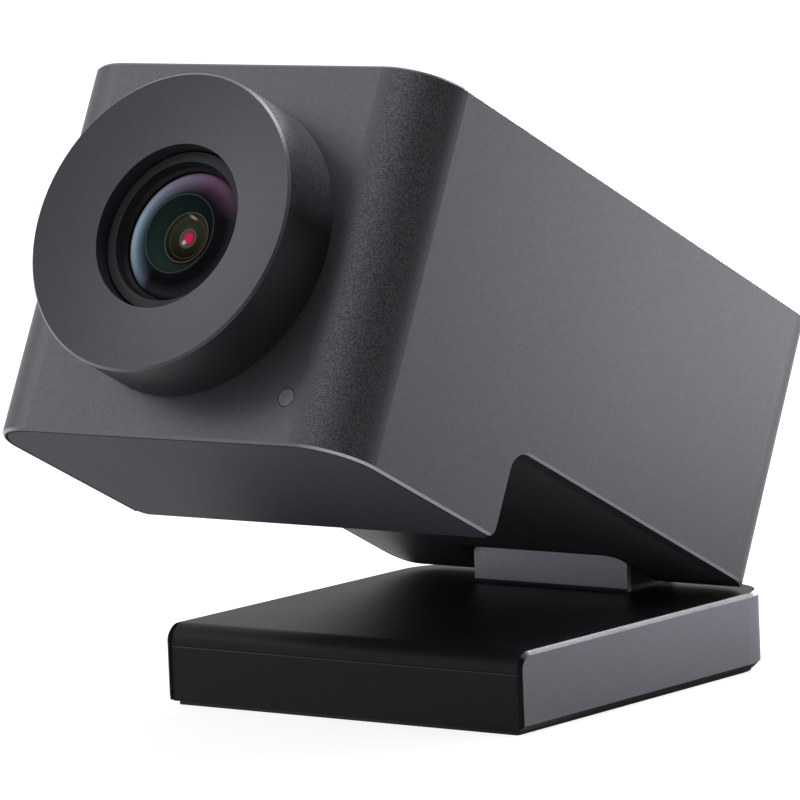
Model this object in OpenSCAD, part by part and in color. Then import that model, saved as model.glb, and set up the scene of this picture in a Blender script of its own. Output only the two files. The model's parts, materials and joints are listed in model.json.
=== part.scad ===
// Conference camera: a metal-sleeved head on a folding foot.
// Millimetres, +Z up, the lens looks along -Y and tilts up at rest.
// The origin is the mouth of the tripod thread, in the middle of the foot's underside.

/* [Head] */
// Width of the head and of the foot
head_w = 56; // [54:0.5:62]
// Depth of the head, front face to rear face
head_d = 91.7; // [90:0.1:100]
// Height of the head above its recess
head_h = 36.5; // [36:0.1:42]
// Depth of the chin
chin_d = 33.5; // [32:0.1:36]
// Drop of the chin below the recess
chin_drop = 11.6; // [11.2:0.1:14]
// Radius of the upright corners
corner_r = 7.7; // [6.5:0.1:9]
// Wall of the metal sleeve
sleeve_t = 1.5; // [1.2:0.1:1.8]
// Thickness of the top, chin and recess covers
cover_t = 1.8; // [1.5:0.1:2.2]
// Gap round each inset cover
cover_gap = 0.15; // [0.1:0.05:0.4]
// Thickness of the metal edge left showing round each cover
edge_t = 0.5; // [0.4:0.05:0.8]
// Chamfer on the outer metal edges
edge_cut = 0.3; // [0.2:0.05:0.5]
// Fillet where the step meets the recess
notch_r = 3; // [2:0.1:4]
// Rounding of the lower rear corner of the chin
chin_corner_r = 1.3; // [0.8:0.1:2]

/* [Lens ring] */
// Height of the lens axis above the recess
lens_rise = 12.7; // [12.2:0.1:14]
// Diameter of the lens ring
ring_d = 38.2; // [36:0.1:42]
// How far the ring stands out of the front face
ring_out = 9; // [8:0.1:11]
// Diameter of the opening in the ring
ring_bore_d = 21; // [20.8:0.1:22]
// Depth of the dished face at the opening
dish_depth = 1.6; // [1:0.1:2]
// Rounding of the outer front edge of the ring
ring_edge = 0.3; // [0.2:0.05:0.8]
// Radius of the part of the ring that sits in the sleeve
neck_r = 16.9; // [16.4:0.1:17.4]

/* [Lens] */
// Diameter of the front glass
glass_d = 17.2; // [16.8:0.1:17.6]
// Curvature of the outer face of the front glass
glass_curve = 13; // [12:0.5:16]
// How far the rim of the front glass sits inside the ring's front edge
glass_set_back = 5.1; // [4.8:0.1:5.6]
// Edge thickness of the front glass
glass_edge_t = 1.5; // [1.2:0.1:2]
// Radius of the lens barrel behind its collar
barrel_body_r = 8.2; // [7.8:0.1:8.8]
// Length of the lens barrel behind the front face
barrel_l = 13; // [12.6:0.1:15]
// Bore that holds the inner glasses
cell_r = 4.8; // [4.4:0.1:5.2]

/* [Foot] */
// Thickness of the foot
foot_t = 10.3; // [10:0.1:12]
// Gap between the folded foot and the step of the head
foot_end_gap = 0.8; // [0.5:0.1:1.5]
// Thickness of the metal band round the foot
band_t = 1.6; // [1.3:0.1:2]
// Rounding of the front upper corners of the band
band_corner_r = 2.2; // [1.6:0.1:3]
// Bevel on the upper and front edges of the band
band_bevel = 0.5; // [0.3:0.05:0.8]
// Rounding of the top cover's front edge
nose_r = 2.6; // [2:0.1:3]
// Thickness of the rubber pad
pad_t = 0.5; // [0.4:0.05:0.8]
// How far the pad is inset from the outside of the band
pad_inset = 1.2; // [0.8:0.1:2]
// Wall of the moulded foot parts
foot_wall = 1.6; // [1.3:0.1:1.9]

/* [Hinge] */
// Tilt of the head at rest, in degrees
tilt_rest = 26.4; // [5:0.1:60]
// Height of the hinge axis above the foot's upper face
hinge_rise = 8.7; // [8.4:0.1:10]
// Distance of the hinge axis from the rear face
hinge_set_in = 4.4; // [4.2:0.1:5]
// Gap between the recess and the folded foot
closed_gap = 0.4; // [0.3:0.05:0.6]
// Distance of the hinge arm's side from the side of the head
arm_in = 15.75; // [15:0.05:17]
// How far the arm's front face is ahead of the hinge axis
arm_front = 7.7; // [7:0.1:8.4]
// Radius of the arm's barrel
arm_barrel_r = 4; // [3.6:0.1:4.2]
// Radius of the hinge pin
pin_r = 1.5; // [1.2:0.05:1.8]
// Space beside the arm, in the slot of the recess
slot_side_gap = 0.95; // [0.8:0.05:1.5]
// Space ahead of the arm, in the slot of the recess
slot_front_gap = 1.3; // [1:0.1:1.6]
// Thickness of the bracket ears
ear_t = 2.4; // [1.8:0.1:3]

/* [Thread and fasteners] */
// Radius of the tripod thread's bore
thread_r = 2.56; // [2.4:0.02:2.7]
// Length of the tripod thread
thread_l = 6.5; // [5.5:0.1:6.8]
// Radius of the small screws
screw_r = 0.8; // [0.7:0.05:0.9]
// Radius of the small screws' heads
screw_head_r = 1.5; // [1.3:0.05:1.6]

/* [Boards] */
// Thickness of the circuit boards
pcb_t = 1.2; // [1:0.1:1.6]
// Height of the main board above the recess cover
board_rise = 14.5; // [14:0.1:16]
// Side of the square processor
chip_w = 14; // [12:0.5:18]
// Height of the heat sink's fins
fin_h = 9; // [7:0.1:9.5]
// Width of the cable socket
socket_w = 8.9; // [8.4:0.1:9.4]
// Height of the cable socket
socket_h = 3.2; // [3:0.1:3.6]

/* [Hidden] */
$fn = 64;

// Overrun of every cut past the surface it opens
over = 0.5;
// Clearance between two pieces that are fitted together
fit_gap = 0.05;
// Clearance of the pin in the bracket ears
run_gap = 0.03;

// Places in the head's own frame, whose origin is the middle of the hinge axis
rear_y = hinge_set_in;
front_y = rear_y - head_d;
mid_y = (rear_y + front_y) / 2;
step_y = front_y + chin_d;
ceiling_z = closed_gap - hinge_rise;
top_z = ceiling_z + head_h;
chin_z = ceiling_z - chin_drop;
lens_z = ceiling_z + lens_rise;
in_w = head_w - 2 * sleeve_t;
cover_w = head_w - 2 * edge_t;
cover_d = head_d - 2 * edge_t;
cover_r = corner_r - edge_t;
in_d = head_d - 2 * sleeve_t;
in_r = corner_r - sleeve_t;
in_front_y = front_y + sleeve_t;
in_rear_y = rear_y - sleeve_t;
floor_z = ceiling_z + cover_t;
rail_t = 2.2;

// Foot
recess_d = head_d - chin_d;
foot_d = recess_d - foot_end_gap;
foot_front_y = -foot_d / 2;
foot_rear_y = foot_d / 2;
foot_in_w = head_w - 2 * band_t;
front_lip_t = 0.6;
front_lip_l = 1.6;
front_bar_w = head_w - 2 * (front_lip_t + cover_gap);
foot_face_gap = 0.3;
face_y = foot_front_y + foot_face_gap;
base_floor_z = pad_t + foot_wall;
seam_z = foot_t - nose_r;
seam_gap = 0.1;
seam_cut = 0.15;
front_corner_r = 0.5;
band_foot_cut = 0.7;
cover_cut = 0.15;
pad_front_in = 0.4;
hinge_y = foot_rear_y - hinge_set_in;
hinge_z = foot_t + hinge_rise;

// Hinge
arm_w = head_w - 2 * arm_in;
slot_w = arm_w + 2 * slot_side_gap;
slot_y = -(arm_front + slot_front_gap);
slot_corner_r = 2;
hood_t = 1.2;
bay_r = arm_barrel_r + slot_front_gap;
shoulder_drop = 3.9;
arm_face_t = 0.8;
arm_face_r = 1;
arm_rear_in = 0.3;
arm_heel = hinge_set_in - band_t - arm_rear_in;
flange_t = 2;
flange_reach = 6;
sill_t = 0.6;
sill_h = 0.4;
sill_gap = 0.3;
ear_gap = 0.1;
ear_x = slot_w / 2 + ear_gap;
ear_r = 4.2;
ear_rear_gap = 0.3;
washer_gap = 0.05;
washer_t = 1.1;
washer_r = in_rear_y - 2 * ear_rear_gap + washer_gap;
nut_t = 2.2;
pin_end = 0.5;
bracket_t = 1.2;
bracket_gap = 3;
bracket_front = 11;
pin_half = ear_x + ear_t + washer_gap + washer_t + nut_t + pin_end;
bracket_screw_x = (ear_x + ear_t + in_w / 2 - rail_t - bracket_gap) / 2;
bracket_screw_y = -bracket_front + 2 * screw_head_r;
bracket_rear_screw_y = -2.4;
film_t = 0.2;
film_edge = 1;
film_rear_gap = 0.3;
film_slot_gap = 0.6;
film_corner_r = 2;

// Screws
screw_head_h = 1.1;
socket_r = 0.75;
socket_depth = 0.6;
head_gap = 0.1;
boss_r = 2.4;
cover_screw_x = foot_in_w / 2 - 2 * boss_r;
cover_screw_ys = [face_y + 3 * boss_r, 0];
arm_screw_x = arm_w / 2 + boss_r - cover_gap;
flange_w = 2 * (arm_screw_x + boss_r);
arm_screw_ys = [-arm_front - boss_r, -boss_r];
nut_flange_r = 6;
nut_flange_t = 1.2;
nut_body_r = 4.6;
nut_cap_t = 0.8;

// Lens stack; z here runs forward from the head's front face along the lens axis
ring_r = ring_d / 2;
bore_r = ring_bore_d / 2;
rim_r = ring_r - ring_edge;
neck_gap = 0.1;

// The dish is part of a sphere through the rim and the opening's edge
dish_lift = (rim_r * rim_r - bore_r * bore_r - dish_depth * dish_depth) / (2 * dish_depth);
dish_curve = norm([rim_r, dish_lift]);
dish_facets = 128;

glass_r = glass_d / 2;
glass_lip = 0.4;
dome_r = glass_r - glass_lip;
glass_z = ring_out - glass_set_back;
seat_z = glass_z - glass_edge_t;
collar_gap = 0.3;
collar_r = bore_r - collar_gap;
collar_back = 4;
ring_height = 1.65;
ring_bevel_h = 0.15;
ring_bevel_w = 1.3;
ring_throat = 0.45;
hollow_r = 5.2;
hollow_curve = 6.2;
second_r = 4.3;
second_t = 2.4;
second_curve = 5;
second_hollow_r = 2.9;
second_hollow_curve = 3.6;
throat_r = 3.3;
second_drop = 2.2;
second_z = seat_z - second_drop;
throat_z = second_z - second_t;
throat_t = 1.6;
cell_z = throat_z - throat_t;
iris_t = 0.4;
iris_r = 1.5;
spacer_t = 1.2;
spacer_wall = 1;
rear_glass_edge = 1.4;
rear_curve = 8;
cell_ring_t = 1;
cell_ring_wall = 1.1;
barrel_z = -barrel_l;
plate_t = 2.2;
plate_z = -sleeve_t;
plate_back_z = plate_z - plate_t;
holder_gap = 0.2;
holder_wall = 1.6;
holder_grip = 7;
holder_floor_t = 1.2;
holder_w = 2 * (barrel_body_r + holder_gap + holder_wall);
sensor_w = 9;
sensor_h = 7;
sensor_t = 1.4;
filter_t = 0.4;
filter_w = 9;
filter_ledge = 0.8;
filter_drop = 0.6;
holder_room = 2.2;
holder_floor_z = barrel_z - holder_gap;
board_face_z = holder_floor_z - holder_floor_t - holder_room;
sensor_board_x = 17;
sensor_board_up = 14;
post_r = 2.2;
post_gap = 1.4;
post_x = holder_w / 2 + post_r + post_gap;
post_up = 10.4;
bezel_screw_ring = (neck_r + bore_r) / 2;
bezel_screw_depth = 4;
seal_t = glass_z - collar_back - plate_z;

// Status light
led_in = 9.6;
led_x = head_w / 2 - led_in;
led_drop = 5.7;
led_r = 1.1;
led_gap = 0.1;
led_flange = 0.7;
led_flange_t = 1;
led_z = ceiling_z - led_drop;
led_chip_w = 1.8;
led_chip_t = 0.8;

// Boards and frame
frame_gap = 0.1;
shelf_t = 2;
shelf_w = 8.4;
board_z = floor_z + board_rise;
board_gap = 0.4;
column_w = 4.1;
column_d = 5;
board_w = in_w - 2 * (column_w + board_gap);
sensor_back_y = front_y - board_face_z + pcb_t;
board_front_gap = 4.5;
board_front_y = sensor_back_y + board_front_gap;
board_rear_gap = 0.5;
board_rear_y = in_rear_y - board_rear_gap;
rail_end_y = rear_y - corner_r - fit_gap;
board_screw_x = board_w / 2 - boss_r;
board_screw_edge = 4;
board_screw_column_gap = 3.4;
board_screw_ys = [board_front_y + board_screw_edge,
    rail_end_y - column_d - board_screw_column_gap];
frame_screw_x = in_w / 2 - rail_t - boss_r / 2;
frame_screw_ys = [step_y + 3 * boss_r, slot_y - bracket_front / 2];
peg_r = 1.2;
peg_l = 3;
column_x = in_w / 2 - frame_gap - column_w / 2;
column_y = rail_end_y - column_d / 2;
front_peg_y = in_front_y + plate_t + boss_r / 2;
front_peg_x = in_w / 2 - in_r - boss_r;
chin_peg_l = 3.5;
chin_peg_in = 13.25;
chin_peg_x = in_w / 2 - chin_peg_in;
step_t = 1.8;
rear_chin_peg_y = step_y - step_t - boss_r / 2;

// Heat sink and chips
chip_t = 1.3;
pad_soft_t = 0.5;
chip_ahead = 3;
chip_y = (board_front_y + board_rear_y) / 2 - chip_ahead;
sink_t = 2;
sink_z = board_z + pcb_t + chip_t + pad_soft_t;
sink_margin = 6;
sink_w = board_w - 2 * sink_margin;
sink_d = 30;
fin_t = 1.1;
fins = 8;
ear_arm_w = 5;
memory_w = 9;
memory_d = 7;
memory_t = 1;
memory_gap = 3;
socket_l = 7.4;
socket_wall = 0.35;
socket_tongue_t = 0.7;
socket_tongue_margin = 1.2;
socket_set_in = 0.3;
socket_floor = 1.6;
socket_room = 0.35;
flex_t = 0.3;
flex_w = 8;
flex_rise = 5;
connector_d = 2.6;
connector_t = 1.2;

metal = [0.36, 0.36, 0.39];
dark_metal = [0.3, 0.3, 0.33];
black = [0.08, 0.08, 0.09];
charcoal = [0.3, 0.29, 0.31];
frame_grey = [0.2, 0.2, 0.21];
rubber = [0.05, 0.05, 0.055];
steel = [0.6, 0.6, 0.62];
glass = [0.16, 0.24, 0.26];
board_green = [0.06, 0.24, 0.16];
gold = [0.78, 0.62, 0.3];

// The head's frame: hinge axis at its origin, tilted up at rest
module in_head()
    translate([0, hinge_y, hinge_z])
        rotate([-tilt_rest, 0, 0])
            children();

// The lens frame: origin on the front face, z forward, y up
module on_lens()
    in_head()
        translate([0, front_y, lens_z])
            rotate([90, 0, 0])
                children();

module box(low, high)
    translate(low)
        cube(high - low);

module pair_x(x)
    for (side = [-1, 1])
        translate([side * x, 0, 0])
            children();

// A cylinder along X, centred on its length
module bar(r, l)
    rotate([0, 90, 0])
        cylinder(r = r, h = l, center = true);

// A profile drawn as [y, z], extruded along X and centred
module along_x(l)
    rotate([90, 0, 90])
        linear_extrude(l, center = true)
            children();

module round_rect(w, d, r) {
    square([w - 2 * r, d], center = true);
    square([w, d - 2 * r], center = true);
    for (sx = [-1, 1], sy = [-1, 1])
        translate([sx * (w / 2 - r), sy * (d / 2 - r)])
            circle(r);
}

module cut_rect(w, h, low, high)
    polygon([
        [low - w / 2, 0], [w / 2 - low, 0], [w / 2, low], [w / 2, h - high],
        [w / 2 - high, h], [high - w / 2, h], [-w / 2, h - high], [-w / 2, low]
    ]);

// Block on z = 0 with round upright corners and chamfered ends
module soft_block(w, d, h, r, low, high) {
    for (sx = [-1, 1], sy = [-1, 1])
        translate([sx * (w / 2 - r), sy * (d / 2 - r), 0])
            rotate_extrude()
                polygon([[0, 0], [r - low, 0], [r, low], [r, h - high], [r - high, h], [0, h]]);
    along_x(w - 2 * r)
        cut_rect(d, h, low, high);
    rotate([90, 0, 0])
        linear_extrude(d - 2 * r, center = true)
            cut_rect(w, h, low, high);
}

// The space inside the sleeve, less a gap all round
module sleeve_core(gap, low, high)
    translate([0, mid_y, low])
        linear_extrude(high - low)
            round_rect(in_w - 2 * gap, in_d - 2 * gap, in_r - gap);

// The rebates in the sleeve's ends that the covers sit in, less a gap all round
module cover_seat(gap, low, high)
    translate([0, mid_y, low])
        linear_extrude(high - low)
            round_rect(cover_w - 2 * gap, cover_d - 2 * gap, cover_r - gap);

// A screw whose head rests on z = 0 and whose shank runs down
module screw(l) {
    difference() {
        cylinder(r = screw_head_r, h = screw_head_h);
        translate([0, 0, screw_head_h - socket_depth])
            cylinder(r = socket_r, h = socket_depth + over, $fn = 6);
    }
    translate([0, 0, -l])
        cylinder(r = screw_r, h = l + fit_gap);
}

// Outline of the hinge arm about the axis as [y, z], grown on all sides
function tangent_point(p, r, turn) =
    let (a = atan2(p[1], p[0]) + turn * acos(r / norm(p)))
    [r * cos(a), r * sin(a)];

module arm_outline(front, grow, foot_z, heel) {
    r = arm_barrel_r + grow;
    shoulder = [-front - grow, grow - shoulder_drop];
    heel_point = [heel, foot_z];
    circle(r);
    polygon([
        [-front - grow, foot_z], shoulder, tangent_point(shoulder, r, -1), [0, 0],
        tangent_point(heel_point, r, 1), heel_point
    ]);
}

// What the hinge motion clears from the lower rear edge of the head
module rear_sweep()
    difference() {
        box([-head_w, 0, ceiling_z - over], [head_w, rear_y + over, 0]);
        bar(-ceiling_z, 2 * head_w + over);
    }

module foot_plan(w, low_y, high_y, rear_r, front_r) {
    translate([-w / 2 + front_r, low_y])
        square([w - 2 * front_r, high_y - low_y - rear_r]);
    translate([-w / 2, low_y + front_r])
        square([w, high_y - low_y - front_r - rear_r]);
    translate([-w / 2 + rear_r, low_y + front_r])
        square([w - 2 * rear_r, high_y - low_y - front_r]);
    for (side = [-1, 1]) {
        translate([side * (w / 2 - rear_r), high_y - rear_r])
            circle(rear_r);
        translate([side * (w / 2 - front_r), low_y + front_r])
            circle(front_r);
    }
}

// Plan of the space inside the band, less a gap
module foot_core_plan(gap) {
    foot_plan(foot_in_w - 2 * gap, face_y, foot_rear_y - band_t - gap,
        corner_r - band_t - gap, front_corner_r);
    translate([-front_bar_w / 2, face_y])
        square([front_bar_w, foot_front_y + front_lip_l - cover_gap - face_y]);
}

// What the front of the band keeps: round upper corners with a bevelled outer edge
module band_corner() {
    bar(band_corner_r, head_w - 2 * band_bevel);
    for (side = [0, 1])
        mirror([side, 0, 0])
            translate([head_w / 2 - band_bevel, 0, 0])
                rotate([0, 90, 0])
                    cylinder(r1 = band_corner_r, r2 = band_corner_r - band_bevel, h = band_bevel);
}

module foot_band()
    color(metal)
        difference() {
            translate([0, foot_rear_y - (foot_d + 2 * corner_r) / 2, pad_t])
                soft_block(head_w, foot_d + 2 * corner_r, foot_t - pad_t, corner_r,
                    band_foot_cut, band_bevel);
            box([-head_w, foot_front_y - 3 * corner_r, -over], [head_w, foot_front_y, foot_t + over]);
            translate([0, 0, -over])
                linear_extrude(foot_t + 2 * over)
                    foot_plan(foot_in_w, foot_front_y - corner_r, foot_rear_y - band_t,
                        corner_r - band_t, front_corner_r);
            translate([0, 0, foot_t - foot_wall])
                linear_extrude(foot_wall + over)
                    foot_plan(cover_w, foot_front_y - corner_r, foot_rear_y - edge_t,
                        corner_r - edge_t, front_corner_r);
            box([front_lip_t - head_w / 2, foot_front_y - over, -over],
                [head_w / 2 - front_lip_t, foot_front_y + front_lip_l, foot_t + over]);
            for (side = [0, 1])
                mirror([side, 0, 0])
                    translate([head_w / 2, foot_front_y, -over])
                        linear_extrude(foot_t - band_corner_r + over)
                            polygon([
                                [-band_bevel, 0], [0, band_bevel], [over, band_bevel], [over, -over],
                                [-band_bevel, -over]
                            ]);
            difference() {
                box([-head_w, foot_front_y - over, foot_t - band_corner_r],
                    [head_w, foot_front_y + band_corner_r, foot_t + over]);
                translate([0, foot_front_y + band_corner_r, foot_t - band_corner_r])
                    band_corner();
            }
        }

// Place of the four screws that draw the foot's cover and base together
module at_cover_screws()
    for (y = cover_screw_ys)
        translate([0, y, 0])
            pair_x(cover_screw_x)
                children();

module at_arm_screws()
    for (y = arm_screw_ys)
        translate([0, hinge_y + y, 0])
            pair_x(arm_screw_x)
                children();

module foot_base()
    color(black)
        difference() {
            union() {
                difference() {
                    translate([0, 0, pad_t])
                        linear_extrude(seam_z - seam_gap - pad_t)
                            foot_core_plan(fit_gap);
                    translate([0, 0, base_floor_z])
                        linear_extrude(foot_t)
                            foot_plan(foot_in_w - 2 * foot_wall, face_y + foot_wall,
                                foot_rear_y - band_t - foot_wall,
                                corner_r - band_t - foot_wall, front_corner_r);
                }
                at_cover_screws()
                    translate([0, 0, pad_t])
                        cylinder(r = boss_r, h = seam_z - pad_t);
                translate([0, 0, pad_t])
                    cylinder(r = nut_flange_r + foot_wall, h = thread_l - pad_t);
            }
            along_x(head_w)
                translate([face_y, seam_z - seam_gap])
                    polygon([
                        [0, -seam_cut], [seam_cut, 0], [seam_cut, over], [-over, over],
                        [-over, -seam_cut]
                    ]);
            box([-arm_w / 2 - sill_gap, hinge_y, base_floor_z],
                [arm_w / 2 + sill_gap, foot_rear_y, foot_t]);
            translate([0, 0, -over])
                cylinder(r = nut_flange_r + fit_gap, h = nut_flange_t + over + fit_gap);
            cylinder(r = nut_body_r + fit_gap, h = foot_t);
            at_cover_screws() {
                translate([0, 0, pad_t - over])
                    cylinder(r = screw_head_r + head_gap, h = screw_head_h + over);
                cylinder(r = screw_r + head_gap, h = foot_t);
            }
            at_arm_screws() {
                translate([0, 0, pad_t - over])
                    cylinder(r = screw_head_r + head_gap, h = screw_head_h + over);
                cylinder(r = screw_r + head_gap, h = base_floor_z + over);
            }
        }

module foot_top_cover()
    color(black)
        difference() {
            union() {
                intersection() {
                    union() {
                        linear_extrude(foot_t - foot_wall + fit_gap)
                            foot_core_plan(cover_gap);
                        translate([0, 0, foot_t - foot_wall])
                            linear_extrude(foot_wall + over)
                                foot_plan(cover_w - 2 * cover_gap, face_y,
                                    foot_rear_y - edge_t - cover_gap,
                                    cover_r - cover_gap, front_corner_r);
                    }
                    along_x(head_w)
                        difference() {
                            union() {
                                translate([face_y + nose_r, seam_z])
                                    circle(nose_r);
                                translate([face_y + nose_r, seam_z])
                                    square([foot_d, nose_r]);
                            }
                            translate([face_y - over, seam_z - 2 * nose_r])
                                square([foot_d + nose_r, 2 * nose_r]);
                            translate([face_y + foot_wall, seam_z - over])
                                square([foot_d, nose_r + over - foot_wall]);
                        }
                }
                at_cover_screws()
                    translate([0, 0, seam_z])
                        cylinder(r = boss_r, h = foot_t - seam_z - foot_wall / 2);
                translate([0, hinge_y - arm_front - sill_gap - sill_t, foot_t - foot_wall])
                    translate([-arm_w / 2, 0, 0])
                        cube([arm_w, sill_t, foot_wall + sill_h]);
            }
            box([-arm_w / 2 - sill_gap, hinge_y - arm_front - sill_gap, seam_z],
                [arm_w / 2 + sill_gap, foot_rear_y + over, foot_t + over]);
            at_cover_screws()
                cylinder(r = screw_r + fit_gap, h = foot_t - foot_wall / 2);
        }

module foot_pad()
    color(rubber)
        difference() {
            linear_extrude(pad_t)
                foot_plan(head_w - 2 * pad_inset, face_y + pad_front_in,
                    foot_rear_y - pad_inset, corner_r - pad_inset, front_corner_r);
            translate([0, 0, -over])
                cylinder(r = nut_flange_r + cover_gap, h = pad_t + 2 * over);
        }

module tripod_nut()
    color(gold)
        difference() {
            union() {
                cylinder(r = nut_flange_r, h = nut_flange_t);
                cylinder(r = nut_body_r, h = thread_l + nut_cap_t);
            }
            translate([0, 0, -over])
                cylinder(r = thread_r, h = thread_l + over);
        }

module foot_cover_screws()
    color(steel)
        at_cover_screws()
            translate([0, 0, pad_t + screw_head_h])
                rotate([180, 0, 0])
                    screw(foot_t - pad_t - screw_head_h - foot_wall);

module hinge_arm()
    color(dark_metal)
        difference() {
            union() {
                translate([0, hinge_y, hinge_z])
                    along_x(arm_w)
                        arm_outline(arm_front - arm_face_t, 0, -hinge_rise, arm_heel);
                box([-arm_w / 2, hinge_y - arm_front + arm_face_t, base_floor_z],
                    [arm_w / 2, hinge_y + arm_heel, foot_t + fit_gap]);
                box([-flange_w / 2, hinge_y - arm_front, base_floor_z],
                    [flange_w / 2, foot_rear_y - band_t - foot_wall - fit_gap, base_floor_z + flange_t]);
                pair_x(arm_screw_x)
                    box([-boss_r, hinge_y - arm_front - flange_reach, base_floor_z],
                        [boss_r, hinge_y, base_floor_z + flange_t]);
                at_arm_screws()
                    translate([0, 0, base_floor_z])
                        cylinder(r = boss_r, h = foot_t - foot_wall - base_floor_z - cover_gap);
            }
            translate([0, hinge_y, hinge_z])
                bar(pin_r + fit_gap, arm_w + over);
            at_arm_screws()
                cylinder(r = screw_r + fit_gap, h = foot_t - 2 * foot_wall);
        }

// Flat plate on the front of the arm, standing on its flange
module hinge_arm_face()
    color(metal)
        translate([0, hinge_y - arm_front + arm_face_t, base_floor_z + flange_t])
            rotate([90, 0, 0])
                linear_extrude(arm_face_t)
                    difference() {
                        translate([-arm_w / 2, 0])
                            square([arm_w, hinge_z - shoulder_drop - base_floor_z - flange_t]);
                        for (side = [0, 1])
                            mirror([side, 0, 0])
                                translate([arm_w / 2 - arm_face_r,
                                    hinge_z - shoulder_drop - base_floor_z - flange_t - arm_face_r])
                                    difference() {
                                        square(arm_face_r + over);
                                        circle(arm_face_r);
                                    }
                    }

module hinge_arm_screws()
    color(steel)
        at_arm_screws()
            translate([0, 0, pad_t + screw_head_h])
                rotate([180, 0, 0])
                    screw(foot_t - pad_t - screw_head_h - 3 * foot_wall);

module at_axis()
    translate([0, hinge_y, hinge_z])
        children();

module hinge_pin()
    color(steel)
        at_axis()
            bar(pin_r, 2 * pin_half);

module hinge_washers()
    color(steel)
        at_axis()
            for (x = [(arm_w / 2 + ear_x) / 2, ear_x + ear_t + washer_gap + washer_t / 2])
                pair_x(x)
                    difference() {
                        bar(washer_r, x < ear_x ? ear_x - arm_w / 2 - 2 * washer_gap : washer_t);
                        bar(pin_r + fit_gap, 2 * washer_t);
                    }

module hinge_nuts()
    color(steel)
        at_axis()
            pair_x(ear_x + ear_t + washer_gap + washer_t + nut_t / 2)
                difference() {
                    rotate([0, 90, 0])
                        cylinder(r = washer_r, h = nut_t, center = true, $fn = 6);
                    bar(pin_r + fit_gap, nut_t + over);
                }

// One bracket, on the side x > 0
module hinge_bracket()
    difference() {
        intersection() {
            union() {
                translate([ear_x + ear_t / 2, 0, 0])
                    along_x(ear_t) {
                        circle(ear_r);
                        polygon([
                            [-ear_r, 0], [ear_r, 0], [in_rear_y, floor_z], [-bracket_front, floor_z],
                            [-bracket_front, floor_z + bracket_t]
                        ]);
                    }
                box([ear_x, -bracket_front, floor_z],
                    [in_w / 2 - rail_t - bracket_gap, in_rear_y, floor_z + bracket_t]);
            }
            sleeve_core(ear_rear_gap, floor_z, top_z);
        }
        bar(pin_r + run_gap, head_w);
        translate([bracket_screw_x, bracket_screw_y, 0])
            cylinder(r = screw_r + fit_gap, h = head_w, center = true);
        translate([bracket_screw_x, bracket_rear_screw_y, 0])
            cylinder(r = screw_r + fit_gap, h = head_w, center = true);
    }

module hinge_bracket_right()
    color(steel)
        in_head()
            hinge_bracket();

module hinge_bracket_left()
    color(steel)
        in_head()
            mirror([1, 0, 0])
                hinge_bracket();

module at_bracket_screws()
    for (y = [bracket_screw_y, bracket_rear_screw_y])
        translate([0, y, 0])
            pair_x(bracket_screw_x)
                children();

module hinge_bracket_screws()
    color(steel)
        in_head()
            at_bracket_screws()
                translate([0, 0, ceiling_z + film_t + fit_gap + screw_head_h])
                    rotate([180, 0, 0])
                        screw(cover_t - screw_head_h + bracket_t);

// Outer skin of the head: the block over the recess, and the chin
module head_skin()
    difference() {
        union() {
            translate([0, mid_y, ceiling_z])
                soft_block(head_w, head_d, head_h, corner_r, edge_cut, edge_cut);
            difference() {
                translate([0, front_y + chin_d / 2 + corner_r, chin_z])
                    soft_block(head_w, chin_d + 2 * corner_r, chin_drop + head_h / 2, corner_r,
                        edge_cut, edge_cut);
                box([-head_w, step_y + notch_r, chin_z - over],
                    [head_w, step_y + 3 * corner_r, top_z]);
            }
        }
        step_void();
    }

// The space behind the chin, with its edges broken where the skin is cut
module step_void() {
    box([-head_w, step_y, chin_z - over], [head_w, step_y + notch_r + over, ceiling_z - notch_r]);
    translate([0, step_y + notch_r, ceiling_z - notch_r])
        bar(notch_r, head_w + over);
    for (side = [-1, 1])
        mirror([side < 0 ? 1 : 0, 0, 0])
            translate([head_w / 2, 0, 0]) {
                translate([0, step_y + notch_r, ceiling_z - notch_r])
                    rotate([0, 90, 0])
                        translate([0, 0, -edge_cut])
                            cylinder(r1 = notch_r, r2 = notch_r + edge_cut, h = edge_cut);
                translate([0, step_y, chin_z - over])
                    linear_extrude(chin_drop + over - notch_r)
                        polygon([[-edge_cut, 0], [0, -edge_cut], [over, 0]]);
                chin_corner_cut();
            }
}

// Rounds the chin's lower rear corner, measured from the side face
module chin_corner_cut()
    difference() {
        box([-sleeve_t - over, step_y - chin_corner_r, chin_z - over],
            [over, step_y + over, chin_z + chin_corner_r]);
        translate([0, step_y - chin_corner_r, chin_z + chin_corner_r])
            rotate([0, 90, 0]) {
                translate([0, 0, -edge_cut])
                    cylinder(r1 = chin_corner_r, r2 = chin_corner_r - edge_cut, h = edge_cut);
                translate([0, 0, -sleeve_t - 2 * over])
                    cylinder(r = chin_corner_r, h = sleeve_t + 2 * over - edge_cut);
            }
    }

socket_z = board_z + pcb_t + socket_h / 2;

module socket_outline(grow)
    round_rect(socket_w + 2 * grow, socket_h + 2 * grow, socket_h / 2 + grow - fit_gap);

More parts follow.
